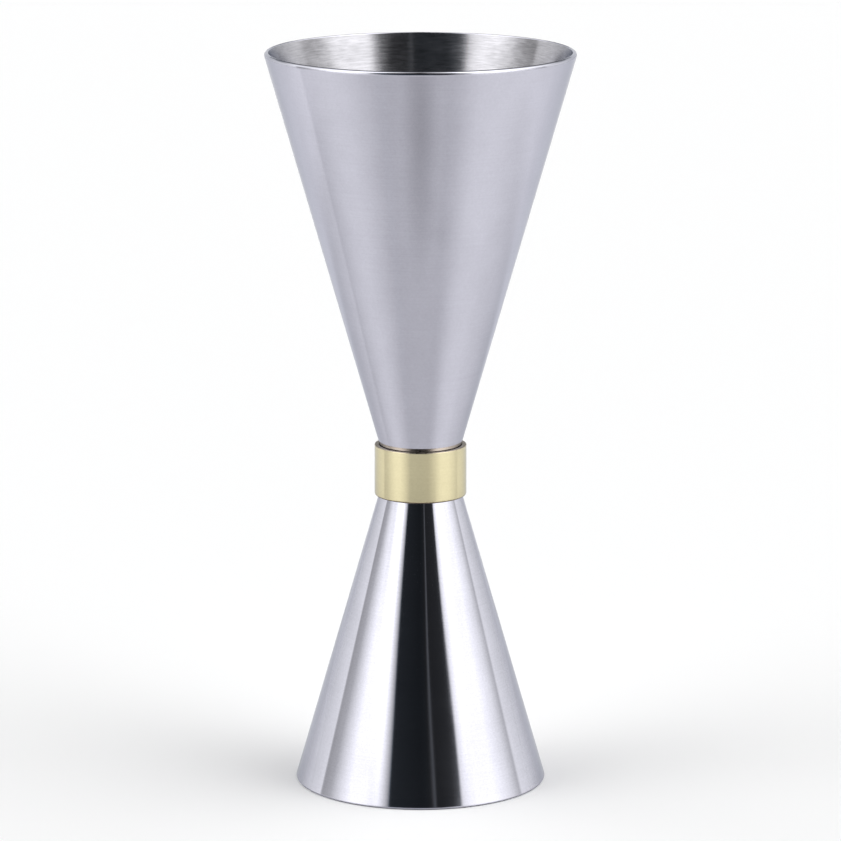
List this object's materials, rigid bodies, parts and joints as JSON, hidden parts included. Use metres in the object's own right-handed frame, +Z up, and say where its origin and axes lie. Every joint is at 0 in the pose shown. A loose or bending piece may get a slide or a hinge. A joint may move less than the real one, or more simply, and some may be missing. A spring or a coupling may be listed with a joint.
{
  "type": "bar jigger",
  "caption": "Double-ended bar jigger: two metal cone cups of different size set end to end and held by a gold collar band.",
  "frame": {"origin": "centre of the small cup's rim, on the surface that the jigger stands on", "axes": "+Z up along the common axis of both cups, from the small cup towards the large cup; X and Y are equivalent"},
  "size_m": [0.0526, 0.0526, 0.126],
  "materials": {
    "large_cup_steel": "polished stainless steel with a satin sheen outside and a turned, finely brushed inside",
    "small_cup_steel": "mirror-polished stainless steel outside and a turned, finely brushed inside",
    "collar_gold": "pale champagne gold plating, polished",
    "stud_steel": "plain machined stainless steel",
    "core_steel": "plain turned stainless steel"
  },
  "bodies": {
    "root": {"large_cup": "large_cup_steel", "small_cup": "small_cup_steel", "collar_band": "collar_gold", "joining_stud": "stud_steel", "threaded_core": "core_steel"}
  },
  "joints": []
}
